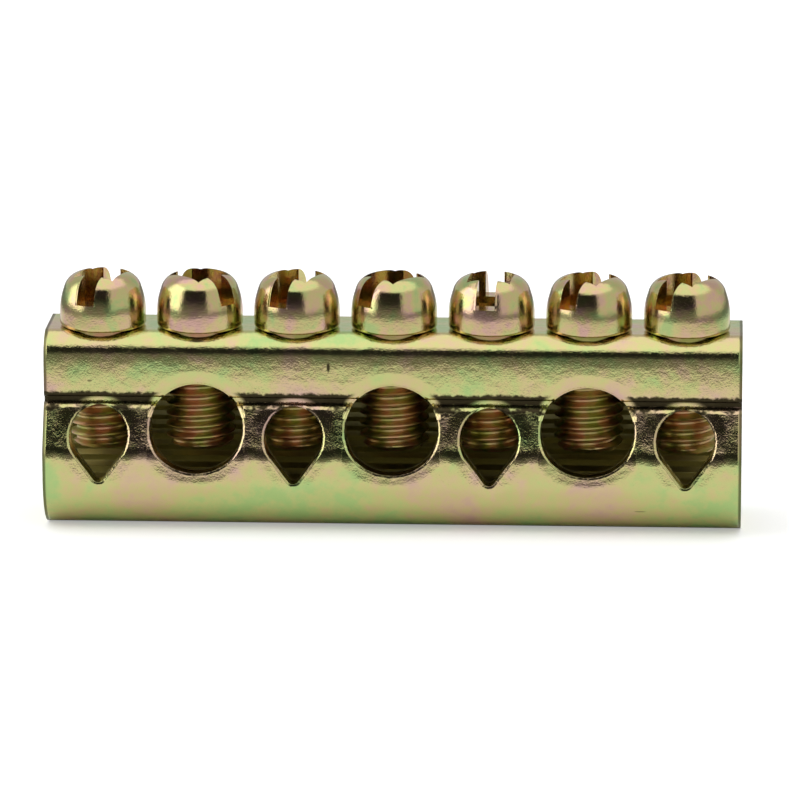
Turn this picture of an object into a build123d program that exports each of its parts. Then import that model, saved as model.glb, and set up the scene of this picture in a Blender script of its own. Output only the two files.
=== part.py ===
"""Earth terminal bar: a folded steel strip with seven clamping screws, for earth conductors.

Millimetres. X runs along the bar, the wire holes face -Y and the screws stand up along +Z.
The origin is under the middle of the bar, on the face that it stands on.
"""

import math
import os

from build123d import *

# Ways: one screw and one wire hole each
way_count = 7
way_pitch = 7.0
end_margin = 4.0

# Folded strip, seen from its end, from the seat down
strip_thickness = 1.55
seam_gap = 0.1
seat_overhang = 0.15
seat_edge_radius = 0.3
neck_width = 6.6
neck_height = 4.55
shoulder_inset = 0.3
shoulder_drop = 2.15
shoulder_inner_radius = 0.25
groove_width = 0.53
groove_depth = 0.35
groove_flank = 0.1
root_overhang = 0.19
root_round_radius = 0.6
root_inner_radius = 1.0
hip_drop = 3.28
hip_inner_radius = 0.95
side_flat = 1.37
foot_inner_radius = 2.35
foot_flat_width = 2.4

# Wire holes
large_hole_diameter = 6.8
large_hole_drop = 6.95
small_hole_diameter = 4.2
small_hole_drop = 7.2
teardrop_tip_radius = 0.45
teardrop_tip_drop = 2.8

# Clamping screws
thread_diameter = 5.0
thread_clearance = 0.05
shank_length = 8.7
shank_tip_chamfer = 0.5
head_diameter = 6.2
head_height = 3.85
crown_radius = 1.25
crown_facets = 3
slot_width = 1.35
slot_depth = 1.9
socket_width = 3.1
socket_depth = 2.4
socket_point_depth = 0.4
socket_point_angle = 65

# How far each slot is turned from square across the bar, left to right, in degrees
slot_turns = (20, -48, 24, 44, 7, 31, 36)

# Cuts run past the faces that they open by this much
cut_overrun = 1.0

# Widths of the section, halved, and the slope of the bulb's upper flank
neck_half = neck_width / 2
seat_reach = neck_half + seat_overhang
groove_half = neck_half - groove_depth
root_half = neck_half + root_overhang
shoulder_radius = shoulder_inner_radius + strip_thickness
foot_radius = foot_inner_radius + strip_thickness
bulb_half = foot_flat_width / 2 + foot_radius
flank_slope = math.atan2(bulb_half - root_half, hip_drop)
hip_radius = hip_inner_radius + strip_thickness

# Levels of the section, from the bottom up
hip_level = foot_radius + side_flat + hip_radius * math.tan(flank_slope / 2)
hip_inner_level = hip_level - strip_thickness * math.tan(flank_slope / 2)
root_level = hip_level + hip_drop
lip_level = root_level + groove_width
bar_height = lip_level + neck_height
seat_underside = bar_height - strip_thickness

# Places of the screws along the bar
bar_length = way_pitch * (way_count - 1) + 2 * end_margin
middle_way = (way_count - 1) / 2
way_places = [way_pitch * (way - middle_way) for way in range(way_count)]

# Insides of the walls
neck_inner_half = neck_half - strip_thickness
bulb_inner_half = bulb_half - strip_thickness

# Bar: one strip that starts at the seat's back edge, is folded down over the front shoulder and round
# the bulb, and ends under the seat, where the back wall meets it in a seam
with BuildPart() as bar_body:
    with BuildSketch(Plane(origin=(0, 0, 0), x_dir=(0, -1, 0), z_dir=(-1, 0, 0))):
        with BuildLine():
            outside = FilletPolyline(
                (-seat_reach, seat_underside),
                (-seat_reach, bar_height),
                (neck_half - shoulder_inset, bar_height),
                (neck_half, bar_height - shoulder_drop),
                (neck_half, lip_level),
                (groove_half, lip_level - groove_flank),
                (groove_half, root_level + groove_flank),
                (root_half, root_level),
                (bulb_half, hip_level),
                (bulb_half, 0),
                (-bulb_half, 0),
                (-bulb_half, hip_level),
                (-root_half, root_level),
                (-groove_half, root_level + groove_flank),
                (-groove_half, lip_level - groove_flank),
                (-neck_half, lip_level),
                (-neck_half, seat_underside - seam_gap),
                radius=(
                    (seat_edge_radius, shoulder_radius, 0, 0, 0, 0)
                    + (root_round_radius, hip_radius, foot_radius)
                    + (foot_radius, hip_radius, root_round_radius, 0, 0, 0)
                ),
            )
            inside = FilletPolyline(
                (-neck_inner_half, seat_underside - seam_gap),
                (-neck_inner_half, root_level),
                (-bulb_inner_half, hip_inner_level),
                (-bulb_inner_half, strip_thickness),
                (bulb_inner_half, strip_thickness),
                (bulb_inner_half, hip_inner_level),
                (neck_inner_half, root_level),
                (neck_inner_half, seat_underside),
                (-seat_reach, seat_underside),
                radius=(
                    root_inner_radius,
                    hip_inner_radius,
                    foot_inner_radius,
                    foot_inner_radius,
                    hip_inner_radius,
                    root_inner_radius,
                    shoulder_inner_radius,
                ),
            )
            Line(outside @ 1, inside @ 0)
        make_face()
    extrude(amount=bar_length / 2, both=True)

    # Wire holes, through the front wall only: teardrops and larger round ones by turns
    for way, place in enumerate(way_places):
        tapered = way % 2 == 0
        drop = small_hole_drop if tapered else large_hole_drop
        mouth = Plane(origin=(place, 0, bar_height - drop), x_dir=(1, 0, 0), z_dir=(0, -1, 0))
        with BuildSketch(mouth):
            if tapered:
                Circle(small_hole_diameter / 2)
                with Locations((0, -teardrop_tip_drop)):
                    Circle(teardrop_tip_radius)
                make_hull()
            else:
                Circle(large_hole_diameter / 2)
        extrude(amount=bulb_half + cut_overrun, mode=Mode.SUBTRACT)

    # Tapped holes, down through the seat and along the neck's inner walls
    with Locations([(place, 0, bar_height) for place in way_places]):
        Hole(thread_diameter / 2 + thread_clearance, depth=bar_height - hip_level)

bar_body.part.label = "bar_body"


def make_screw(place, slot_turn):
    """A clamping screw on the seat at this place along the bar, its slot turned by slot_turn."""
    head_half = head_diameter / 2
    shank_half = thread_diameter / 2
    facet_turns = [math.pi / 2 * facet / crown_facets for facet in range(crown_facets + 1)]
    crown = [
        (
            head_half - crown_radius * (1 - math.cos(turn)),
            head_height - crown_radius * (1 - math.sin(turn)),
        )
        for turn in facet_turns
    ]
    across = math.radians(slot_turn)
    seat = Plane(
        origin=(place, 0, bar_height),
        x_dir=(math.cos(across), -math.sin(across), 0),
        z_dir=(0, 0, 1),
    )
    side = Plane(origin=seat.origin, x_dir=seat.x_dir, z_dir=-seat.y_dir)
    with BuildPart() as screw:
        with BuildSketch(side):
            with BuildLine():
                Polyline(
                    (0, -shank_length),
                    (shank_half - shank_tip_chamfer, -shank_length),
                    (shank_half, -shank_length + shank_tip_chamfer),
                    (shank_half, 0),
                    (head_half, 0),
                    *crown,
                    (0, head_height),
                    close=True,
                )
            make_face()
        revolve(axis=Axis(seat.origin, seat.z_dir))
        head_top = seat.offset(head_height)
        with BuildSketch(head_top):
            Rectangle(slot_width, head_diameter + cut_overrun)
        extrude(amount=-slot_depth, mode=Mode.SUBTRACT)
        with BuildSketch(head_top):
            Rectangle(socket_width, socket_width)
        extrude(amount=-socket_depth, mode=Mode.SUBTRACT)
        with BuildSketch(seat.offset(head_height - socket_depth)):
            Rectangle(socket_width, socket_width)
        extrude(amount=-socket_point_depth, taper=socket_point_angle, mode=Mode.SUBTRACT)
    return screw.part


screws = []
for number, (place, slot_turn) in enumerate(zip(way_places, slot_turns), start=1):
    screw = make_screw(place, slot_turn)
    screw.label = f"terminal_screw_{number}"
    screws.append(screw)

os.makedirs("parts", exist_ok=True)
for piece in [bar_body.part, *screws]:
    export_step(piece, f"parts/{piece.label}.step")
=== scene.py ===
"""Earth terminal bar: a folded, yellow-passivated steel strip with seven clamping screws.

The shapes are worked out in millimetres and brought to metres at the end of each section. The wire
holes face -Y, the screws stand along +Z, and the bar stands on the floor at Z 0.
"""

import math

import bpy
from mathutils import Matrix, Vector


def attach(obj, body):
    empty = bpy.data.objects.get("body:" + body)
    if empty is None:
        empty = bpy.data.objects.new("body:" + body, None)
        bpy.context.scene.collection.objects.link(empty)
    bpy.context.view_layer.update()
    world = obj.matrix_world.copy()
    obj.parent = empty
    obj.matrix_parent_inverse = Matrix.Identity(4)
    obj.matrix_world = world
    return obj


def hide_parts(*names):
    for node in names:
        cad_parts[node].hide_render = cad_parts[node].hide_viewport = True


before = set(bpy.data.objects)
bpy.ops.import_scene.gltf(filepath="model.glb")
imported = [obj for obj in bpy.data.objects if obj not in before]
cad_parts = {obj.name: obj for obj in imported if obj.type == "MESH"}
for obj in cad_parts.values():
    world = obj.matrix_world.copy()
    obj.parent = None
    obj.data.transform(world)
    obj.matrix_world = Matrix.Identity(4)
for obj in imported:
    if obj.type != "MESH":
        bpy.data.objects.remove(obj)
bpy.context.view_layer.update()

# Folded bar
# One strip of steel, 1.55 mm thick. Its edge lies along the back of the seat. From there it is folded
# down over the front shoulder, pinched to a groove, rolled round a hollow bulb and brought up again to
# end under the seat. The wire holes are punched, and the bores for the screws tapped in the seat.
MM = 0.001
way_count = 7
way_pitch = 7.0
bar_length = 50.0
strip_thickness = 1.55
seam_gap = 0.1
seat_overhang = 0.15
seat_edge_radius = 0.3
neck_half = 3.3
neck_height = 4.55
shoulder_inset = 0.3
shoulder_drop = 2.15
shoulder_inner_radius = 0.25
groove_width = 0.53
groove_depth = 0.35
groove_flank = 0.1
lip_round_radius = 0.28
root_overhang = 0.19
root_round_radius = 0.6
root_inner_radius = 1.0
hip_drop = 3.28
hip_inner_radius = 0.95
side_flat = 1.37
foot_inner_radius = 2.35
foot_flat_width = 2.4

middle_way = (way_count - 1) / 2
bar_half = bar_length / 2
seat_reach = neck_half + seat_overhang
groove_half = neck_half - groove_depth
root_half = neck_half + root_overhang
shoulder_radius = shoulder_inner_radius + strip_thickness
foot_radius = foot_inner_radius + strip_thickness
bulb_half = foot_flat_width / 2 + foot_radius
flank_slope = math.atan2(bulb_half - root_half, hip_drop)
hip_radius = hip_inner_radius + strip_thickness
hip_level = foot_radius + side_flat + hip_radius * math.tan(flank_slope / 2)
hip_inner_level = hip_level - strip_thickness * math.tan(flank_slope / 2)
root_level = hip_level + hip_drop
lip_level = root_level + groove_width
bar_height = lip_level + neck_height
seat_underside = bar_height - strip_thickness
neck_inner_half = neck_half - strip_thickness
bulb_inner_half = bulb_half - strip_thickness

# Corners of the section: across towards the front, up, and the radius of the fold there
fold_line = [
    (-seat_reach, seat_underside, 0),
    (-seat_reach, bar_height, seat_edge_radius),
    (neck_half - shoulder_inset, bar_height, shoulder_radius),
    (neck_half, bar_height - shoulder_drop, 0),
    (neck_half, lip_level, lip_round_radius),
    (groove_half, lip_level - groove_flank, 0),
    (groove_half, root_level + groove_flank, 0),
    (root_half, root_level, root_round_radius),
    (bulb_half, hip_level, hip_radius),
    (bulb_half, 0, foot_radius),
    (-bulb_half, 0, foot_radius),
    (-bulb_half, hip_level, hip_radius),
    (-root_half, root_level, root_round_radius),
    (-groove_half, root_level + groove_flank, 0),
    (-groove_half, lip_level - groove_flank, 0),
    (-neck_half, lip_level, lip_round_radius),
    (-neck_half, seat_underside - seam_gap, 0),
    (-neck_inner_half, seat_underside - seam_gap, 0),
    (-neck_inner_half, root_level, root_inner_radius),
    (-bulb_inner_half, hip_inner_level, hip_inner_radius),
    (-bulb_inner_half, strip_thickness, foot_inner_radius),
    (bulb_inner_half, strip_thickness, foot_inner_radius),
    (bulb_inner_half, hip_inner_level, hip_inner_radius),
    (neck_inner_half, root_level, root_inner_radius),
    (neck_inner_half, seat_underside, shoulder_inner_radius),
]


def rounded(corners, step=math.radians(2.5)):
    """Points round a closed line of (across, up, radius) corners, each fold cut into small steps."""
    points = []
    for here in range(len(corners)):
        before = Vector(corners[here - 1][:2])
        corner = Vector(corners[here][:2])
        after = Vector(corners[(here + 1) % len(corners)][:2])
        radius = corners[here][2]
        if radius == 0:
            points.append(corner)
            continue
        back = (before - corner).normalized()
        on = (after - corner).normalized()
        half = back.angle(on) / 2
        start = corner + back * (radius / math.tan(half))
        centre = corner + (back + on).normalized() * (radius / math.sin(half))
        turn = math.pi - 2 * half
        way_round = 1 if back.x * on.y - back.y * on.x < 0 else -1
        count = max(2, math.ceil(turn / step))
        for number in range(count + 1):
            spun = Matrix.Rotation(way_round * turn * number / count, 2)
            points.append(centre + spun @ (start - centre))
    return points


def loose_mesh(name, points, faces):
    """A new object of these points and faces."""
    mesh = bpy.data.meshes.new(name)
    mesh.from_pydata([tuple(point) for point in points], [], faces)
    made = bpy.data.objects.new(name, mesh)
    bpy.context.scene.collection.objects.link(made)
    return made


def put(tree, kind, inputs=None, **settings):
    """A node with its settings, its inputs joined to sockets or given plain values."""
    made = tree.nodes.new(kind)
    for name, value in settings.items():
        setattr(made, name, value)
    for name, value in (inputs or {}).items():
        target = made.inputs[name]
        for source in value if isinstance(value, list) else [value]:
            if isinstance(source, bpy.types.NodeSocket):
                tree.links.new(source, target)
            else:
                target.default_value = source
    return made


def maths(tree, operation, *values):
    """Output of a Math node on these values."""
    return put(tree, "ShaderNodeMath", dict(enumerate(values)), operation=operation).outputs[0]


def plus(tree, first, second):
    """Output of the sum of two values."""
    return maths(tree, "ADD", first, second)


def minus(tree, first, second):
    """Output of the first value less the second."""
    return maths(tree, "SUBTRACT", first, second)


def times(tree, first, second):
    """Output of the product of two values."""
    return maths(tree, "MULTIPLY", first, second)


def point_at(tree, x=0.0, y=0.0, z=0.0):
    """Output of a node that joins three values to a vector."""
    return put(tree, "ShaderNodeCombineXYZ", {"X": x, "Y": y, "Z": z}).outputs[0]


def shape_tree(name, sizes):
    """A new Geometry Nodes tree with these named sizes, its Group Input and its Group Output."""
    tree = bpy.data.node_groups.new(name, "GeometryNodeTree")
    tree.interface.new_socket("Geometry", in_out="INPUT", socket_type="NodeSocketGeometry")
    for label, value in sizes.items():
        kind = "NodeSocketInt" if isinstance(value, int) else "NodeSocketFloat"
        socket = tree.interface.new_socket(label, in_out="INPUT", socket_type=kind)
        socket.default_value = value
    tree.interface.new_socket("Finish", in_out="INPUT", socket_type="NodeSocketMaterial")
    tree.interface.new_socket("Geometry", in_out="OUTPUT", socket_type="NodeSocketGeometry")
    return tree, put(tree, "NodeGroupInput"), put(tree, "NodeGroupOutput")


def grow(made, tree, finish, sizes):
    """Puts the tree on an object with the finish and the sizes that are this object's own."""
    growth = made.modifiers.new(tree.name, "NODES")
    growth.node_group = tree
    values = {**sizes, "Finish": finish}
    for socket in tree.interface.items_tree:
        if socket.in_out == "INPUT" and socket.name in values:
            growth[socket.identifier] = values[socket.name]


def settle(made, sharp_angle):
    """Works the object's modifiers into a plain mesh in metres, smooth but for its sharp edges."""
    bpy.context.view_layer.update()
    seen = made.evaluated_get(bpy.context.evaluated_depsgraph_get())
    mesh = bpy.data.meshes.new_from_object(seen)
    made.modifiers.clear()
    made.data = mesh
    mesh.name = made.name
    mesh.transform(Matrix.Scale(MM, 4))
    mesh.shade_smooth()
    mesh.set_sharp_from_angle(angle=math.radians(sharp_angle))


# Wire holes, small teardrops and large round ones by turns. The strip is punched before it is rolled,
# which leaves the large holes a little squat.
large_hole_radius = 3.35
large_hole_squatness = 0.92
large_hole_drop = 6.66
small_hole_radius = 2.1
small_hole_drop = 7.2
hole_tip_radius = 0.45
hole_tip_drop = 2.8
bore_radius = 2.55
cut_overrun = 1.0
weld_reach = 0.0005
round_steps = 96
large_hole_height = bar_height - large_hole_drop
small_hole_height = bar_height - small_hole_drop

# The tree that makes the bar from its section: drawn out to its length, then bored and punched
bar_sizes = {
    "Length": bar_length,
    "Ways": way_count,
    "Pitch": way_pitch,
    "Large Hole Radius": large_hole_radius,
    "Large Hole Squatness": large_hole_squatness,
    "Large Hole Height": large_hole_height,
    "Small Hole Radius": small_hole_radius,
    "Small Hole Height": small_hole_height,
    "Tip Radius": hole_tip_radius,
    "Tip Drop": hole_tip_drop,
    "Bore Radius": bore_radius,
    "Seat Height": bar_height,
    "Bore Bottom": hip_level,
    "Punch Reach": bulb_half + cut_overrun,
}
bar_tree, bar_in, bar_out = shape_tree("folded_bar", bar_sizes)
bar_size = bar_in.outputs
drawn = put(
    bar_tree,
    "GeometryNodeExtrudeMesh",
    {
        "Mesh": bar_size["Geometry"],
        "Offset": point_at(bar_tree, bar_size["Length"]),
        "Offset Scale": 1.0,
    },
)
near_end = put(bar_tree, "GeometryNodeFlipFaces", {"Mesh": bar_size["Geometry"]})
both_ends = put(
    bar_tree,
    "GeometryNodeJoinGeometry",
    {"Geometry": [drawn.outputs["Mesh"], near_end.outputs["Mesh"]]},
)
closed = put(
    bar_tree,
    "GeometryNodeMergeByDistance",
    {"Geometry": both_ends.outputs[0], "Distance": weld_reach},
)
centred = put(
    bar_tree,
    "GeometryNodeTransform",
    {
        "Geometry": closed.outputs[0],
        "Translation": point_at(bar_tree, times(bar_tree, bar_size["Length"], -0.5)),
    },
)
first_way = times(
    bar_tree,
    minus(bar_tree, bar_size["Ways"], 1.0),
    times(bar_tree, bar_size["Pitch"], -0.5),
)
row = put(
    bar_tree,
    "GeometryNodeMeshLine",
    {
        "Count": bar_size["Ways"],
        "Start Location": point_at(bar_tree, first_way),
        "Offset": point_at(bar_tree, bar_size["Pitch"]),
    },
)
odd_way = maths(bar_tree, "MODULO", put(bar_tree, "GeometryNodeInputIndex").outputs[0], 2.0)
even_way = minus(bar_tree, 1.0, odd_way)


def punch(radius, height, drop=0.0, squatness=1.0):
    """A round punch lying along Y from the middle plane out through the front wall."""
    rod = put(
        bar_tree,
        "GeometryNodeMeshCylinder",
        {"Vertices": round_steps, "Radius": radius, "Depth": bar_size["Punch Reach"]},
    )
    halfway = times(bar_tree, bar_size["Punch Reach"], -0.5)
    level = minus(bar_tree, height, drop)
    laid = put(
        bar_tree,
        "GeometryNodeTransform",
        {
            "Geometry": rod.outputs["Mesh"],
            "Translation": point_at(bar_tree, 0.0, halfway, level),
            "Rotation": (math.pi / 2, 0, 0),
            "Scale": point_at(bar_tree, 1.0, squatness, 1.0),
        },
    )
    return laid.outputs[0]


def along_row(geometry, chosen=None):
    """One copy of the geometry at each chosen way."""
    places = {"Points": row.outputs[0], "Instance": geometry}
    if chosen is not None:
        places["Selection"] = chosen
    copies = put(bar_tree, "GeometryNodeInstanceOnPoints", places)
    return put(bar_tree, "GeometryNodeRealizeInstances", {"Geometry": copies.outputs[0]}).outputs[0]


def cut(geometry, tool):
    """The geometry less the tool."""
    made = put(
        bar_tree,
        "GeometryNodeMeshBoolean",
        {"Mesh 1": geometry, "Mesh 2": tool},
        operation="DIFFERENCE",
        solver="EXACT",
    )
    return made.outputs["Mesh"]


round_punch = punch(
    bar_size["Large Hole Radius"],
    bar_size["Large Hole Height"],
    squatness=bar_size["Large Hole Squatness"],
)
teardrop = put(
    bar_tree,
    "GeometryNodeJoinGeometry",
    {
        "Geometry": [
            punch(bar_size["Small Hole Radius"], bar_size["Small Hole Height"]),
            punch(bar_size["Tip Radius"], bar_size["Small Hole Height"], bar_size["Tip Drop"]),
        ]
    },
)
tapered_punch = put(bar_tree, "GeometryNodeConvexHull", {"Geometry": teardrop.outputs[0]})
bore_depth = minus(bar_tree, bar_size["Seat Height"], bar_size["Bore Bottom"])
drill = put(
    bar_tree,
    "GeometryNodeMeshCylinder",
    {
        "Vertices": round_steps,
        "Radius": bar_size["Bore Radius"],
        "Depth": times(bar_tree, bore_depth, 2.0),
    },
)
raised = put(
    bar_tree,
    "GeometryNodeTransform",
    {
        "Geometry": drill.outputs["Mesh"],
        "Translation": point_at(bar_tree, z=bar_size["Seat Height"]),
    },
)
bored = cut(centred.outputs[0], along_row(raised.outputs[0]))
round_holed = cut(bored, along_row(round_punch, odd_way))
punched = cut(round_holed, along_row(tapered_punch.outputs[0], even_way))
whole = put(bar_tree, "GeometryNodeRealizeInstances", {"Geometry": punched})
finished = put(
    bar_tree,
    "GeometryNodeSetMaterial",
    {"Geometry": whole.outputs[0], "Material": bar_size["Finish"]},
)
bar_tree.links.new(finished.outputs[0], bar_out.inputs["Geometry"])


def effect(name, inputs, outputs):
    """A new shader node group with these named inputs and outputs, and its two end nodes."""
    group = bpy.data.node_groups.new(name, "ShaderNodeTree")
    for label, value in inputs.items():
        kind = "NodeSocketVector" if value is None else "NodeSocketFloat"
        socket = group.interface.new_socket(label, in_out="INPUT", socket_type=kind)
        if value is not None:
            socket.default_value = value
    for label, kind in outputs.items():
        group.interface.new_socket(label, in_out="OUTPUT", socket_type=kind)
    return group, put(group, "NodeGroupInput"), put(group, "NodeGroupOutput")


def colours(tree, value, stops):
    """Output of a Color Ramp on a value, with its stops as {place: colour}."""
    ramp = put(tree, "ShaderNodeValToRGB", {"Fac": value})
    band = ramp.color_ramp
    while len(band.elements) < len(stops):
        band.elements.new(0.5)
    for element, (place, colour) in zip(band.elements, sorted(stops.items())):
        element.position = place
        element.color = (*colour, 1)
    return ramp.outputs[0]


def clouds(tree, point, size, detail=2.0, roughness=0.5):
    """Output of a Noise Texture whose lumps are about this many millimetres across."""
    noise = put(
        tree,
        "ShaderNodeTexNoise",
        {"Vector": point, "Scale": 1 / size, "Detail": detail, "Roughness": roughness},
    )
    return noise.outputs[0]


def scaled(tree, value, low, high, to_low, to_high, soft=False):
    """Output of a Map Range from low and high to two new values, clamped."""
    made = put(
        tree,
        "ShaderNodeMapRange",
        {"Value": value, "From Min": low, "From Max": high, "To Min": to_low, "To Max": to_high},
        interpolation_type="SMOOTHSTEP" if soft else "LINEAR",
    )
    return made.outputs[0]


def within(tree, value, low, high, soft):
    """Output that is 1 where the value lies between low and high, and fades to 0 outside them."""
    rising = scaled(tree, value, low - soft, low + soft, 0.0, 1.0, True)
    falling = scaled(tree, value, high - soft, high + soft, 1.0, 0.0, True)
    return times(tree, rising, falling)


def either(tree, switch, off, on):
    """Output of one value where the switch is 0 and the other where it is 1."""
    return put(tree, "ShaderNodeMix", {0: switch, 2: off, 3: on}).outputs[0]


def blend(tree, amount, first, second, how="MIX"):
    """Output of a Mix node on two colours."""
    made = tree.nodes.new("ShaderNodeMix")
    made.data_type = "RGBA"
    made.blend_type = how
    for socket, source in ((made.inputs[0], amount), (made.inputs[6], first), (made.inputs[7], second)):
        if isinstance(source, bpy.types.NodeSocket):
            tree.links.new(source, socket)
        elif socket == made.inputs[0]:
            socket.default_value = source
        else:
            socket.default_value = (*source, 1)
    return made.outputs[2]


def length_of(tree, across, up):
    """Output of the length of a line that goes this far across and up."""
    squares = plus(tree, times(tree, across, across), times(tree, up, up))
    return maths(tree, "SQRT", squares)


# Yellow passivation over zinc: khaki gold that drifts to green where the film is thin and to rose where
# it is thick, with a fine speckle
film_colours = {
    0.34: (0.44, 0.60, 0.23),
    0.43: (0.57, 0.60, 0.24),
    0.50: (0.63, 0.56, 0.25),
    0.57: (0.67, 0.51, 0.30),
    0.66: (0.65, 0.44, 0.35),
}
drift_share = 0.8
speck_share = 0.35
speck_middle = 0.075
tint, tint_in, tint_out = effect(
    "passivation",
    {"Point": None, "Patch": 7.0, "Shift": 0.0, "Thicker": 0.0},
    {"Colour": "NodeSocketColor"},
)
shift = tint_in.outputs["Shift"]
shifted = put(
    tint,
    "ShaderNodeVectorMath",
    {0: tint_in.outputs["Point"], 1: point_at(tint, shift, shift, 0.0)},
    operation="ADD",
).outputs[0]
drift = put(
    tint,
    "ShaderNodeTexNoise",
    {
        "Vector": shifted,
        "Scale": maths(tint, "DIVIDE", 1.0, tint_in.outputs["Patch"]),
        "Detail": 3.0,
        "Roughness": 0.6,
        "Distortion": 0.4,
    },
).outputs[0]
specks = times(tint, clouds(tint, shifted, size=0.9, detail=4.0, roughness=0.7), speck_share)
film = plus(tint, times(tint, drift, drift_share), minus(tint, specks, speck_middle))
film = plus(tint, film, tint_in.outputs["Thicker"])
tint.links.new(colours(tint, film, film_colours), tint_out.inputs["Colour"])

# Surface of the plated steel, as a height in millimetres: rolled waviness, lumps, scratches and pits
wave_height = 0.03
lump_height = 0.013
scratch_height = 0.0022
pit_height = 0.011
grain, grain_in, grain_out = effect(
    "plated_surface", {"Point": None, "Depth": 1.0}, {"Height": "NodeSocketFloat"}
)
bare_spot = grain_in.outputs["Point"]
drawn_out = put(
    grain,
    "ShaderNodeMapping",
    {"Vector": bare_spot, "Rotation": (0.2, 0.5, 0.3), "Scale": (0.12, 1.0, 1.0)},
).outputs[0]
waves = times(grain, clouds(grain, bare_spot, size=1.3, detail=1.0), wave_height)
lumps = times(grain, clouds(grain, bare_spot, size=0.36, detail=3.0, roughness=0.65), lump_height)
scratches = times(grain, clouds(grain, drawn_out, size=0.09), scratch_height)
pits = times(grain, clouds(grain, bare_spot, size=0.13, roughness=0.6), pit_height)
height = plus(grain, plus(grain, waves, lumps), plus(grain, scratches, pits))
height = times(grain, height, grain_in.outputs["Depth"])
grain.links.new(height, grain_out.inputs["Height"])

# Distance in millimetres from the nearest wire hole's edge, seen square on to the front
rim, rim_in, rim_out = effect(
    "hole_edge",
    {"Point": None, "Large Height": large_hole_height, "Small Height": small_hole_height},
    {"Distance": "NodeSocketFloat", "Large": "NodeSocketFloat"},
)
seen_spot = put(rim, "ShaderNodeSeparateXYZ", {0: rim_in.outputs["Point"]}).outputs
way_here = plus(rim, maths(rim, "DIVIDE", seen_spot["X"], way_pitch), middle_way)
way_here = maths(rim, "MAXIMUM", maths(rim, "ROUND", way_here), 0.0)
nearest_way = maths(rim, "MINIMUM", way_here, way_count - 1)
way_place = times(rim, minus(rim, nearest_way, middle_way), way_pitch)
sideways = maths(rim, "ABSOLUTE", minus(rim, seen_spot["X"], way_place))
is_large = maths(rim, "MODULO", nearest_way, 2.0)

# A large hole is a circle once its squatness is taken out
rise = minus(rim, seen_spot["Z"], rim_in.outputs["Large Height"])
rise = maths(rim, "DIVIDE", rise, large_hole_squatness)
from_large = minus(rim, length_of(rim, sideways, rise), large_hole_radius)

# A teardrop is a circle above, a small circle at its tip, and the straight flank that touches both
below = minus(rim, rim_in.outputs["Small Height"], seen_spot["Z"])
below_tip = minus(rim, below, hole_tip_drop)
lean = (small_hole_radius - hole_tip_radius) / hole_tip_drop
upright = math.sqrt(1 - lean * lean)
along_flank = plus(rim, times(rim, sideways, -lean), times(rim, below, upright))
across_flank = plus(rim, times(rim, sideways, upright), times(rim, below, lean))
from_round = minus(rim, length_of(rim, sideways, below), small_hole_radius)
from_tip = minus(rim, length_of(rim, sideways, below_tip), hole_tip_radius)
from_flank = minus(rim, across_flank, small_hole_radius)
past_round = maths(rim, "GREATER_THAN", along_flank, 0.0)
past_flank = maths(rim, "GREATER_THAN", along_flank, upright * hole_tip_drop)
from_small = either(rim, past_round, from_round, either(rim, past_flank, from_flank, from_tip))
rim.links.new(either(rim, is_large, from_small, from_large), rim_out.inputs["Distance"])
rim.links.new(is_large, rim_out.inputs["Large"])


def in_mm(material):
    """Output of the Object coordinates in millimetres."""
    own = put(material.node_tree, "ShaderNodeTexCoord").outputs["Object"]
    made = put(material.node_tree, "ShaderNodeVectorMath", {0: own, "Scale": 1 / MM}, operation="SCALE")
    return made.outputs[0]


def use(material, group, values):
    """A shader group placed in a material with its own values."""
    made = put(material.node_tree, "ShaderNodeGroup", node_tree=group)
    for name, value in values.items():
        if isinstance(value, bpy.types.NodeSocket):
            material.node_tree.links.new(value, made.inputs[name])
        else:
            made.inputs[name].default_value = value
    return made


bar_plating = bpy.data.materials.new("bar_plating")
bar_plating.use_nodes = True
tree = bar_plating.node_tree
skin = tree.nodes["Principled BSDF"]
spot = in_mm(bar_plating)
place = put(tree, "ShaderNodeSeparateXYZ", {0: spot})
surface = use(bar_plating, grain, {"Point": spot, "Depth": 1.0})
edge = use(bar_plating, rim, {"Point": spot})
across = maths(tree, "ABSOLUTE", place.outputs["Y"])
up = place.outputs["Z"]
mottle = clouds(tree, spot, size=0.5, detail=3.0, roughness=0.7)

# The film dried thinner, and greener, low on the bulb and high on the neck
low_film = scaled(tree, up, 2.0, 5.5, -0.06, 0.035, True)
high_film = scaled(tree, up, lip_level + 0.3, lip_level + 1.6, 0.0, -0.085, True)
drained = plus(tree, low_film, high_film)
patches = use(bar_plating, tint, {"Point": spot, "Patch": 5.5, "Shift": 3.0, "Thicker": drained})

# The inside is all that lies within the middle of the wall, but for the sheared ends
bulb_inside_half = 4.0
neck_inside_half = 2.5
end_margin = 0.01
from_middle = maths(tree, "ABSOLUTE", place.outputs["X"])
on_front = maths(tree, "LESS_THAN", place.outputs["Y"], 0.0)
wall_middle = scaled(tree, up, hip_level, root_level, bulb_inside_half, neck_inside_half)
inside = times(
    tree,
    maths(tree, "LESS_THAN", across, wall_middle),
    within(tree, up, strip_thickness - 0.1, seat_underside + 0.1, 0.02),
)
inside = times(tree, inside, maths(tree, "LESS_THAN", from_middle, bar_half - end_margin))

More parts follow.
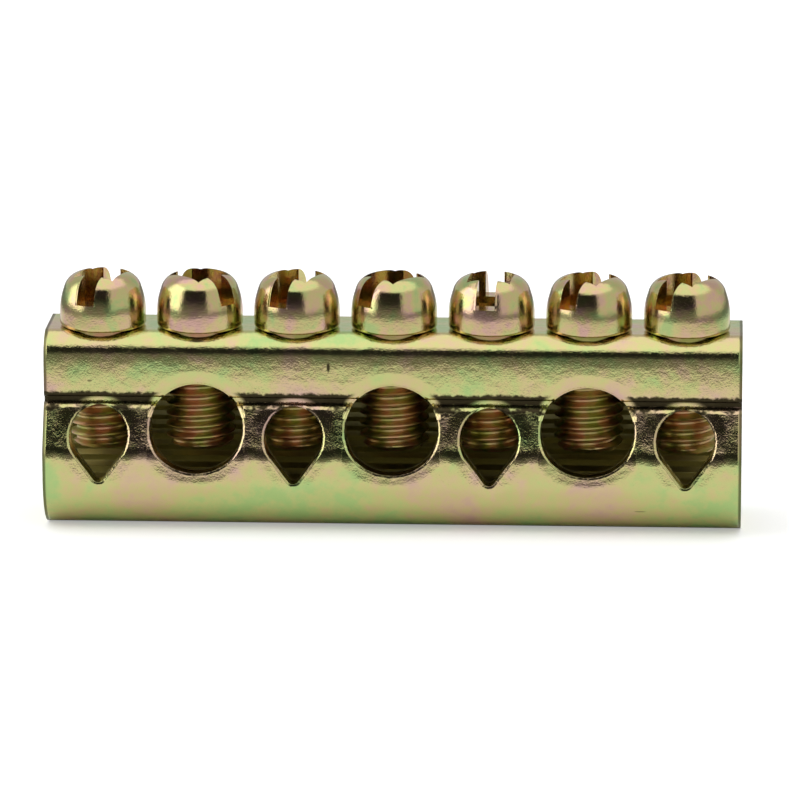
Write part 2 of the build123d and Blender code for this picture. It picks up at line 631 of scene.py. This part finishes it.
# Metal rolls in over the punch's edge and sinks a little round it. The corners beside the large holes
# and at the ends are worn, and the tap has scored the walls inside.
thread_pitch = 0.8
roll_in_depth = 0.055
dish_depth = 0.085
burnish_depth = 0.26
end_wear_depth = 0.1
end_wear_width = 0.3
tap_mark_share = 0.5
from_edge = plus(tree, edge.outputs["Distance"], times(tree, mottle, -0.12))
rolled_in = scaled(tree, from_edge, -0.06, 0.13, -roll_in_depth, 0.0, True)
dished = scaled(tree, edge.outputs["Distance"], 0.0, 1.1, -dish_depth, 0.0, True)
below_groove = maths(tree, "LESS_THAN", up, root_level + 0.1)
near_edge = scaled(tree, from_edge, 0.15, 0.3, 1.0, 0.0, True)
beside_large = times(tree, near_edge, edge.outputs["Large"])
burnished = times(
    tree,
    times(tree, beside_large, below_groove),
    scaled(tree, up, root_level - 0.8, root_level + 0.1, 0.0, -burnish_depth),
)
round_holes = times(tree, plus(tree, plus(tree, rolled_in, dished), burnished), on_front)
at_ends = scaled(tree, from_middle, bar_half - end_wear_width, bar_half, 0.0, -end_wear_depth, True)
outer_relief = plus(tree, surface.outputs["Height"], plus(tree, round_holes, at_ends))
tap_marks = times(tree, maths(tree, "PINGPONG", up, thread_pitch / 2), tap_mark_share)
relief = either(tree, inside, outer_relief, tap_marks)
bump = put(tree, "ShaderNodeBump", {"Height": relief, "Strength": 1.0, "Distance": MM})
tree.links.new(bump.outputs[0], skin.inputs["Normal"])

# The groove is painted dark as shade, for it lies deep, except beside the large holes, where it is left
# bright to catch a glint
mark_and_shade_colour = (0.05, 0.04, 0.02)
groove_shade_reach = scaled(tree, edge.outputs["Distance"], 0.25, 0.7, 0.0, 1.0, True)
groove_shade_reach = either(tree, on_front, 1.0, groove_shade_reach)
uneven = plus(tree, up, times(tree, minus(tree, mottle, 0.5), 0.55))
painted_groove_shade = times(tree, within(tree, uneven, root_level + 0.02, lip_level + 0.34, 0.1), groove_shade_reach)
# The ledge under the groove is painted dark in patches as shade, which breaks its highlight into dashes
gaps = scaled(tree, clouds(tree, spot, size=1.6, detail=3.0, roughness=0.7), 0.42, 0.56, 0.0, 1.0, True)
painted_ledge_shade = times(
    tree,
    within(tree, uneven, root_level - 0.4, root_level + 0.05, 0.06),
    minus(tree, 1.0, gaps),
)
marks_and_painted_shade = maths(tree, "MAXIMUM", painted_groove_shade, painted_ledge_shade)

# Small knocks: how far along and up each lies, its half length and half height, and its darkness
for knock_along, knock_up, half_length, half_height, darkness in (
    (-14.0, bar_height - 0.52, 0.6, 0.13, 0.85),
    (-4.55, bar_height - 2.25, 0.14, 0.42, 0.95),
    (-21.7, bar_height - 3.4, 0.2, 0.1, 0.6),
    (17.8, 1.9, 0.5, 0.06, 0.5),
):
    far_along = maths(tree, "DIVIDE", minus(tree, place.outputs["X"], knock_along), half_length)
    far_up = maths(tree, "DIVIDE", minus(tree, up, knock_up), half_height)
    knock = scaled(tree, length_of(tree, far_along, far_up), 0.5, 1.1, darkness, 0.0, True)
    marks_and_painted_shade = maths(tree, "MAXIMUM", marks_and_painted_shade, times(tree, knock, on_front))

# A dark line is painted round each end as shade, standing in for the dark surroundings reflected there
painted_end_shade = scaled(tree, from_middle, bar_half - 0.28, bar_half - 0.14, 0.0, 0.75, True)
painted_end_shade = times(tree, painted_end_shade, maths(tree, "LESS_THAN", from_middle, bar_half - 0.003))
marks_and_painted_shade = maths(tree, "MAXIMUM", marks_and_painted_shade, painted_end_shade)
inside_film = (0.46, 0.42, 0.18)
inside_roughness = 0.35
# Real knocks and the painted shade of the groove, ledge and ends all take the same near-black colour
coloured = blend(tree, marks_and_painted_shade, patches.outputs["Colour"], mark_and_shade_colour)
tree.links.new(blend(tree, inside, coloured, inside_film), skin.inputs["Base Color"])
worn = scaled(tree, clouds(tree, spot, size=0.8, detail=3.0, roughness=0.6), 0.35, 0.7, 0.08, 0.17)
dulled = plus(tree, worn, times(tree, marks_and_painted_shade, 0.3))
tree.links.new(either(tree, inside, dulled, inside_roughness), skin.inputs["Roughness"])
skin.inputs["Metallic"].default_value = 1.0

sharp_edges = 40
section = rounded(fold_line)
bar = loose_mesh("bar", [(0, -out, rise) for out, rise in section], [list(range(len(section)))])
grow(bar, bar_tree, bar_plating, {})
settle(bar, sharp_edges)
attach(bar, "bar")
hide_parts("bar_body")

# Clamping screws
# Seven M5 screws cold-headed from steel wire: a tall round head with a rounded crown, a driver slot
# across a square socket, and a rolled thread. They are plated like the bar and turned down on its seat.
head_radius = 3.1
head_height = 3.85
head_edge_round = 0.3
taper_start = 1.8
taper_lean = math.radians(17.7)
taper_round_radius = 5.0
crown_round_radius = 1.4
shank_radius = 2.5
slot_width = 1.35
slot_depth = 1.9
socket_width = 3.1
socket_depth = 2.4
socket_point_depth = 0.4
screw_sizes = {
    "Segments": round_steps,
    "Place": 0.0,
    "Slot Turn": 0.0,
    "Seat Height": bar_height,
    "Head Radius": head_radius,
    "Head Height": head_height,
    "Slot Width": slot_width,
    "Slot Depth": slot_depth,
    "Socket Width": socket_width,
    "Socket Depth": socket_depth,
    "Socket Point Depth": socket_point_depth,
    "Socket Floor Width": 1.38,
    "Shank Radius": shank_radius,
    "Shank Length": 8.7,
    "Tip Chamfer": 0.5,
    "Thread Pitch": thread_pitch,
    "Thread Depth": 0.49,
    "Steps": 12,
}
screw_tree, screw_in, screw_out = shape_tree("clamping_screw", screw_sizes)
size = screw_in.outputs


def of(operation, *values):
    """Output of a Math node in the screw's tree."""
    return maths(screw_tree, operation, *values)


def sheet(columns, rows):
    """A grid with this many steps each way, and how far across and up its points are, from 0 to 1."""
    made = put(
        screw_tree,
        "GeometryNodeMeshGrid",
        {
            "Size X": 1.0,
            "Size Y": 1.0,
            "Vertices X": of("ADD", columns, 1.0),
            "Vertices Y": of("ADD", rows, 1.0),
        },
    )
    where = put(screw_tree, "GeometryNodeInputPosition").outputs[0]
    spread = put(screw_tree, "ShaderNodeSeparateXYZ", {0: where}).outputs
    return made.outputs["Mesh"], of("ADD", spread["X"], 0.5), of("ADD", spread["Y"], 0.5)


def turned(mesh, turn, radius, height):
    """The grid wrapped round the screw's axis: turn from 0 to 1, radius and height."""
    angle = of("MULTIPLY", turn, 2 * math.pi)
    wrapped = point_at(
        screw_tree,
        of("MULTIPLY", radius, of("COSINE", angle)),
        of("MULTIPLY", radius, of("SINE", angle)),
        height,
    )
    placed = put(screw_tree, "GeometryNodeSetPosition", {"Geometry": mesh, "Position": wrapped})
    return placed.outputs[0]


# The head follows the points of its outline, which are the object's own mesh
outline_count = put(screw_tree, "GeometryNodeAttributeDomainSize", {0: size["Geometry"]})
last_point = of("SUBTRACT", outline_count.outputs["Point Count"], 1.0)
head_sheet, head_turn, head_rise = sheet(size["Segments"], last_point)
outline_spot = put(
    screw_tree,
    "GeometryNodeSampleIndex",
    {
        "Geometry": size["Geometry"],
        "Value": put(screw_tree, "GeometryNodeInputPosition").outputs[0],
        "Index": of("ROUND", of("MULTIPLY", head_rise, last_point)),
    },
    data_type="FLOAT_VECTOR",
)
outline = put(screw_tree, "ShaderNodeSeparateXYZ", {0: outline_spot.outputs[0]}).outputs
head_mesh = turned(head_sheet, head_turn, outline["X"], outline["Z"])

# The thread is a sheet sheared by one pitch in each turn, so that its rows follow the crest. Its crest
# and root are flat for their share of the pitch, and it runs out below the head.
crest_share = 0.0625
root_share = 0.375
run_out_from_share = -1.2
run_out_to_share = -0.4
tip_close_share = 0.9
spare_turns = 3.0
pitch = size["Thread Pitch"]
tip = size["Shank Length"]
rows = of("CEIL", of("MULTIPLY", of("ADD", of("DIVIDE", tip, pitch), spare_turns), size["Steps"]))
thread_sheet, thread_turn, thread_rise = sheet(size["Segments"], rows)
step_here = of("ROUND", of("MULTIPLY", thread_rise, rows))
pitches_up = of("DIVIDE", step_here, size["Steps"])
bottom = of("ADD", tip, of("MULTIPLY", pitch, spare_turns - 1))
level = of("SUBTRACT", of("MULTIPLY", of("ADD", pitches_up, thread_turn), pitch), bottom)
from_crest = of("MULTIPLY", of("ABSOLUTE", of("SUBTRACT", of("FRACT", pitches_up), 0.5)), pitch)
root_radius = of("SUBTRACT", size["Shank Radius"], size["Thread Depth"])
profile = scaled(
    screw_tree,
    from_crest,
    of("MULTIPLY", pitch, crest_share),
    of("MULTIPLY", pitch, root_share),
    size["Shank Radius"],
    root_radius,
)
run_out = scaled(
    screw_tree,
    level,
    of("MULTIPLY", pitch, run_out_from_share),
    of("MULTIPLY", pitch, run_out_to_share),
    root_radius,
    size["Shank Radius"],
)
past_tip = of("ADD", level, tip)
tip_radius = of("SUBTRACT", size["Shank Radius"], size["Tip Chamfer"])
close_drop = of("MULTIPLY", pitch, tip_close_share)
closing = of("MULTIPLY", tip_radius, of("ADD", of("DIVIDE", past_tip, close_drop), 1.0))
tip_limit = of("MINIMUM", of("ADD", tip_radius, past_tip), closing)
thread_radius = of("MAXIMUM", of("MINIMUM", of("MAXIMUM", profile, run_out), tip_limit), 0.0)
thread_level = of("MINIMUM", of("MAXIMUM", level, of("MULTIPLY", tip, -1.0)), 0.0)
thread_mesh = turned(thread_sheet, thread_turn, thread_radius, thread_level)
screw_weld_reach = 0.001
joined = put(screw_tree, "GeometryNodeJoinGeometry", {"Geometry": [head_mesh, thread_mesh]})
blank = put(
    screw_tree,
    "GeometryNodeMergeByDistance",
    {"Geometry": joined.outputs[0], "Distance": screw_weld_reach},
)


def block(width, length, depth):
    """A block this wide and long that reaches this far down from the head's top, and as far up."""
    shape = put(
        screw_tree,
        "GeometryNodeMeshCube",
        {"Size": point_at(screw_tree, width, length, of("MULTIPLY", depth, 2.0))},
    )
    return put(
        screw_tree,
        "GeometryNodeTransform",
        {"Geometry": shape.outputs["Mesh"], "Translation": point_at(screw_tree, z=size["Head Height"])},
    ).outputs[0]


# Slot and square socket, and the low point that the heading tool leaves in the socket's floor. The
# point's wide end reaches a little way up into the socket, so that no skin is left between the two.
point_overlap = 0.03
corner_share = math.sqrt(0.5)
point_shape = put(
    screw_tree,
    "GeometryNodeMeshCone",
    {
        "Vertices": 4,
        "Radius Top": of("MULTIPLY", size["Socket Width"], corner_share),
        "Radius Bottom": of("MULTIPLY", size["Socket Floor Width"], corner_share),
        "Depth": size["Socket Point Depth"],
    },
)
point_level = of(
    "SUBTRACT",
    of("ADD", size["Head Height"], point_overlap),
    of("ADD", size["Socket Depth"], size["Socket Point Depth"]),
)
socket_point = put(
    screw_tree,
    "GeometryNodeTransform",
    {
        "Geometry": point_shape.outputs["Mesh"],
        "Translation": point_at(screw_tree, z=point_level),
        "Rotation": (0, 0, math.pi / 4),
    },
).outputs[0]
slot_tool = block(size["Slot Width"], of("MULTIPLY", size["Head Radius"], 3.0), size["Slot Depth"])
socket_tool = block(size["Socket Width"], size["Socket Width"], size["Socket Depth"])
cut_head = put(
    screw_tree,
    "GeometryNodeMeshBoolean",
    {"Mesh 1": blank.outputs[0], "Mesh 2": [slot_tool, socket_tool, socket_point]},
    operation="DIFFERENCE",
    solver="EXACT",
)

# Each point keeps its place on the upright screw, which the plating is coloured by
kept_place = put(
    screw_tree,
    "GeometryNodeStoreNamedAttribute",
    {
        "Geometry": cut_head.outputs["Mesh"],
        "Name": "own_place",
        "Value": put(screw_tree, "GeometryNodeInputPosition").outputs[0],
    },
    data_type="FLOAT_VECTOR",
    domain="POINT",
)
seated = put(
    screw_tree,
    "GeometryNodeTransform",
    {
        "Geometry": kept_place.outputs[0],
        "Translation": point_at(screw_tree, size["Place"], 0.0, size["Seat Height"]),
        "Rotation": point_at(screw_tree, z=of("MULTIPLY", size["Slot Turn"], -1.0)),
    },
)
one_screw = put(screw_tree, "GeometryNodeRealizeInstances", {"Geometry": seated.outputs[0]})
plated = put(
    screw_tree,
    "GeometryNodeSetMaterial",
    {"Geometry": one_screw.outputs[0], "Material": size["Finish"]},
)
screw_tree.links.new(plated.outputs[0], screw_out.inputs["Geometry"])

screw_plating = bpy.data.materials.new("screw_plating")
screw_plating.use_nodes = True
tree = screw_plating.node_tree
skin = tree.nodes["Principled BSDF"]
spot = in_mm(screw_plating)
patches = use(screw_plating, tint, {"Point": spot, "Patch": 1.8, "Shift": 40.0, "Thicker": 0.01})
surface = use(screw_plating, grain, {"Point": spot, "Depth": 0.7})
own_place = put(tree, "ShaderNodeAttribute", attribute_name="own_place").outputs["Vector"]
own = put(tree, "ShaderNodeSeparateXYZ", {0: own_place})
across_own = maths(tree, "ABSOLUTE", own.outputs["X"])
along_own = maths(tree, "ABSOLUTE", own.outputs["Y"])

# The slot's sides stand up in a low, uneven burr
slot_half = slot_width / 2
burr_height = 0.03
above_slot_floor = maths(tree, "GREATER_THAN", own.outputs["Z"], head_height - slot_depth - 0.02)
beside_slot = maths(tree, "GREATER_THAN", across_own, slot_half + 0.015)
burr_reach = scaled(tree, across_own, slot_half + 0.025, slot_half + 0.165, 1.0, 0.0, True)
burr = scaled(tree, clouds(tree, spot, size=0.6), 0.35, 0.6, 0.0, burr_height, True)
burr = times(tree, times(tree, burr_reach, burr), times(tree, above_slot_floor, beside_slot))
relief = plus(tree, surface.outputs["Height"], burr)
bump = put(tree, "ShaderNodeBump", {"Height": relief, "Strength": 1.0, "Distance": MM})
tree.links.new(bump.outputs[0], skin.inputs["Normal"])

# The film is thicker where the bath lay: orange and rose in the slot and socket, brown on the thread.
# The thread's brown is made darker still as painted shade, for it sits deep in the holes.
head_warmth = (0.95, 0.88, 0.92)
pocket_colours = {
    0.38: (0.62, 0.56, 0.22),
    0.48: (0.66, 0.50, 0.21),
    0.56: (0.64, 0.41, 0.20),
    0.64: (0.58, 0.35, 0.27),
}
thread_film_shade_colours = {0.38: (0.33, 0.32, 0.09), 0.50: (0.46, 0.34, 0.15), 0.62: (0.50, 0.27, 0.15)}
pocket_bottom = head_height - socket_depth - socket_point_depth
in_slot = times(tree, maths(tree, "LESS_THAN", across_own, slot_half + 0.005), above_slot_floor)
in_socket = maths(tree, "MAXIMUM", across_own, along_own)
in_socket = maths(tree, "LESS_THAN", in_socket, socket_width / 2 + 0.006)
above_pocket = maths(tree, "GREATER_THAN", own.outputs["Z"], pocket_bottom - 0.15)
pocket = times(tree, maths(tree, "MAXIMUM", in_slot, in_socket), above_pocket)
pocket_film = colours(tree, clouds(tree, spot, size=0.9, roughness=0.6), pocket_colours)
head_film = blend(tree, 1.0, patches.outputs["Colour"], head_warmth, "MULTIPLY")
head_film = blend(tree, pocket, head_film, pocket_film)
on_thread = maths(tree, "LESS_THAN", own.outputs["Z"], -0.02)
thread_film_and_shade = colours(tree, clouds(tree, spot, size=1.5, roughness=0.6), thread_film_shade_colours)
tree.links.new(blend(tree, on_thread, head_film, thread_film_and_shade), skin.inputs["Base Color"])
head_roughness = 0.14
thread_roughness = 0.36
tree.links.new(either(tree, on_thread, head_roughness, thread_roughness), skin.inputs["Roughness"])
skin.inputs["Metallic"].default_value = 1.0

# Half outline of the head, from the middle of its underside to the middle of its top
crown_reach = head_radius - (head_height - taper_start) * math.tan(taper_lean)
head_corners = [
    (0, 0, 0),
    (head_radius, 0, head_edge_round),
    (head_radius, taper_start, taper_round_radius),
    (crown_reach, head_height, crown_round_radius),
    (0, head_height, 0),
]
head_outline = [(shank_radius, 0)] + [tuple(point) for point in rounded(head_corners)[1:]]

# How far each slot is turned from square across the bar, left to right, in degrees
slot_turns = (20, -48, 24, 44, 7, 31, 36)
for number, slot_turn in enumerate(slot_turns, start=1):
    screw = loose_mesh(f"screw_{number}_threaded", [(out, 0, rise) for out, rise in head_outline], [])
    screw_place = way_pitch * (number - 1 - middle_way)
    own_sizes = {"Place": screw_place, "Slot Turn": math.radians(slot_turn)}
    grow(screw, screw_tree, screw_plating, own_sizes)
    settle(screw, sharp_edges)
    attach(screw, f"screw_{number}")
    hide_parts(f"terminal_screw_{number}")

# Camera
# It stands a little above the seat and to the right of the middle, far off with a long lens, as the
# photograph was taken.
camera_distance = 0.42
azimuth = math.radians(3.2)
elevation = math.radians(13.2)
tilt = math.radians(0.16)
camera_data = bpy.data.cameras.new("camera")
camera = bpy.data.objects.new("camera", camera_data)
bpy.context.scene.collection.objects.link(camera)
bpy.context.scene.camera = camera
aim = Vector((0, 0, 0.0088))
seat_middle = Vector((0, 0, bar_height * MM))
away = Vector(
    (
        math.sin(azimuth) * math.cos(elevation),
        -math.cos(azimuth) * math.cos(elevation),
        math.sin(elevation),
    )
)
camera.location = seat_middle + away * camera_distance
level_look = (aim - camera.location).to_track_quat("-Z", "Y").to_matrix()
camera.rotation_euler = (level_look @ Matrix.Rotation(-tilt, 3, "Z")).to_euler()
camera_data.lens = 263
camera_data.clip_start = 0.01

# Floor
# A plain pale sheet that carries the bar and catches its soft shadow. As the bar sees it in reflection,
# the sheet is painted with a pool of light that fades to painted shade between 75 and 130 mm out.
floor_half = 2
paper = 0.9
paper_glow = 0.36
pool_edge = 0.075
falloff_end = 0.13
painted_pool_colour = 0.98
painted_falloff_colour = 0.2
floor_paint = bpy.data.materials.new("floor_paint")
floor_paint.use_nodes = True
floor_skin = floor_paint.node_tree.nodes["Principled BSDF"]
floor_skin.inputs["Roughness"].default_value = 0.9
floor_skin.inputs["Emission Color"].default_value = (1, 1, 1, 1)
tree = floor_paint.node_tree
seen_floor = put(tree, "ShaderNodeLightPath").outputs["Is Camera Ray"]
tree.links.new(times(tree, seen_floor, paper_glow), floor_skin.inputs["Emission Strength"])
floor_place = put(tree, "ShaderNodeTexCoord").outputs["Object"]
floor_spot = put(tree, "ShaderNodeSeparateXYZ", {0: floor_place}).outputs
outward = length_of(tree, floor_spot["X"], floor_spot["Y"])
painted_pool_and_falloff = scaled(tree, outward, pool_edge, falloff_end, painted_pool_colour, painted_falloff_colour, True)
tree.links.new(either(tree, seen_floor, painted_pool_and_falloff, paper), floor_skin.inputs["Base Color"])
floor_corners = [
    (-floor_half, -floor_half, 0),
    (floor_half, -floor_half, 0),
    (floor_half, floor_half, 0),
    (-floor_half, floor_half, 0),
]
floor = loose_mesh("floor", floor_corners, [[0, 1, 2, 3]])
floor.data.materials.append(floor_paint)

# Light
# A soft box overhead, a bright wall on the left, a dark wall round the camera and a dim one behind the
# bar. Bearings run from straight in front, to the right, and climbs from level, all in degrees.
dark_wall_left = -47
dark_wall_right = 25
bright_wall_left = -110
bright_wall_right = -52
camera_bearing = 3.2
studio = bpy.data.worlds.new("studio")
bpy.context.scene.world = studio
studio.use_nodes = True
tree = studio.node_tree
sky = tree.nodes["Background"]
ray_way = put(tree, "ShaderNodeTexCoord").outputs["Generated"]
ray = put(tree, "ShaderNodeSeparateXYZ", {0: ray_way}).outputs
climb = times(tree, maths(tree, "ARCSINE", ray["Z"]), 180 / math.pi)
bearing = maths(tree, "ARCTAN2", ray["X"], times(tree, ray["Y"], -1.0))
bearing = times(tree, bearing, 180 / math.pi)
off_camera = maths(tree, "ABSOLUTE", minus(tree, bearing, camera_bearing))
in_dark_wall = times(
    tree,
    within(tree, bearing, dark_wall_left, dark_wall_right, 4.0),
    scaled(tree, climb, 41.0, 46.0, 1.0, 0.0, True),
)
in_dim_wall = times(
    tree,
    scaled(tree, off_camera, 95.0, 125.0, 0.0, 1.0, True),
    scaled(tree, climb, 46.0, 54.0, 1.0, 0.0, True),
)
bright_wall = times(
    tree,
    within(tree, bearing, bright_wall_left, bright_wall_right, 6.0),
    scaled(tree, climb, 44.0, 52.0, 1.3, 0.0, True),
)
dark_wall = scaled(tree, climb, 0.0, 20.0, 0.22, 0.02, True)
dim_wall = 0.6
soft_box = scaled(tree, climb, 36.0, 52.0, 0.72, 1.22, True)
around = either(tree, in_dim_wall, plus(tree, soft_box, bright_wall), dim_wall)
brightness = either(tree, in_dark_wall, around, dark_wall)
seen_direct = put(tree, "ShaderNodeLightPath").outputs["Is Camera Ray"]
tree.links.new(either(tree, seen_direct, brightness, 1.0), sky.inputs["Strength"])
sky.inputs["Color"].default_value = (1, 1, 1, 1)
bpy.context.scene.view_settings.view_transform = "Standard"
